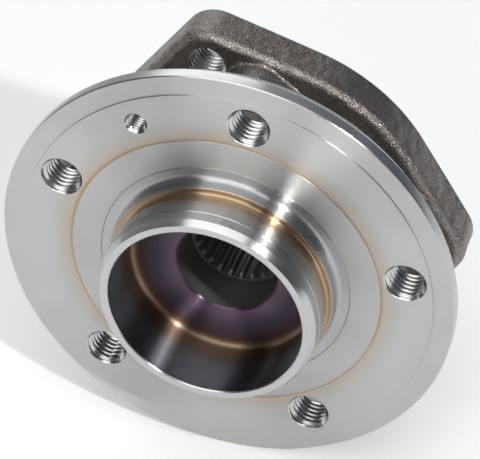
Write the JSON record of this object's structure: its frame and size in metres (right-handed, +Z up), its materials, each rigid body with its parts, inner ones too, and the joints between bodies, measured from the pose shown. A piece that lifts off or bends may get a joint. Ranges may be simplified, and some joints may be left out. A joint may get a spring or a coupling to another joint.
{
  "type": "wheel hub bearing",
  "caption": "Driven-wheel hub unit: a turning five-bolt wheel flange with stepped pilots and splined bore, on two rows of balls in a fixed ring with a four-bolt knuckle flange.",
  "frame": {"origin": "where the axle line meets the wheel-mounting face, the centre of the wheel bolt circle", "axes": "-Y outboard along the axle line, +Z up, +X right as seen from outboard"},
  "size_m": [0.1354, 0.0788, 0.1354],
  "materials": {
    "turned_steel": "satin, fine turned",
    "forged_steel": "rough forged scale",
    "ground_steel": "ground",
    "pressed_steel": "cold rolled",
    "ball_steel": "lapped",
    "seal_rubber": "moulded",
    "encoder_rubber": "moulded",
    "cage_polyamide": "moulded"
  },
  "bodies": {
    "housing": {"outer_ring": "forged_steel", "outboard_seal_case": "pressed_steel", "outboard_seal_lips": "seal_rubber", "inboard_seal_case": "pressed_steel", "inboard_seal_lips": "seal_rubber"},
    "hub": {"hub_flange": "turned_steel", "inner_ring": "ground_steel", "slinger": "pressed_steel", "encoder_ring": "encoder_rubber"},
    "outboard_row": {"outboard_cage": "cage_polyamide", "outboard_ball_01": "ball_steel", "outboard_ball_02": "ball_steel", "outboard_ball_03": "ball_steel", "outboard_ball_04": "ball_steel", "outboard_ball_05": "ball_steel", "outboard_ball_06": "ball_steel", "outboard_ball_07": "ball_steel", "outboard_ball_08": "ball_steel", "outboard_ball_09": "ball_steel", "outboard_ball_10": "ball_steel", "outboard_ball_11": "ball_steel", "outboard_ball_12": "ball_steel", "outboard_ball_13": "ball_steel", "outboard_ball_14": "ball_steel"},
    "inboard_row": {"inboard_cage": "cage_polyamide", "inboard_ball_01": "ball_steel", "inboard_ball_02": "ball_steel", "inboard_ball_03": "ball_steel", "inboard_ball_04": "ball_steel", "inboard_ball_05": "ball_steel", "inboard_ball_06": "ball_steel", "inboard_ball_07": "ball_steel", "inboard_ball_08": "ball_steel", "inboard_ball_09": "ball_steel", "inboard_ball_10": "ball_steel", "inboard_ball_11": "ball_steel", "inboard_ball_12": "ball_steel", "inboard_ball_13": "ball_steel", "inboard_ball_14": "ball_steel"}
  },
  "joints": [
    {"name": "hub_spin", "type": "hinge", "parent": "housing", "child": "hub", "pos_m": [0, 0.03415, 0], "axis": [0, -1, 0], "continuous": true},
    {"name": "outboard_row_spin", "type": "hinge", "parent": "housing", "child": "outboard_row", "pos_m": [0, 0.025, 0], "axis": [0, -1, 0], "continuous": true},
    {"name": "inboard_row_spin", "type": "hinge", "parent": "housing", "child": "inboard_row", "pos_m": [0, 0.0433, 0], "axis": [0, -1, 0], "continuous": true}
  ],
  "couplings": [
    {"joint": "outboard_row_spin", "follows": "hub_spin", "ratio": 0.4222},
    {"joint": "inboard_row_spin", "follows": "hub_spin", "ratio": 0.4222}
  ]
}
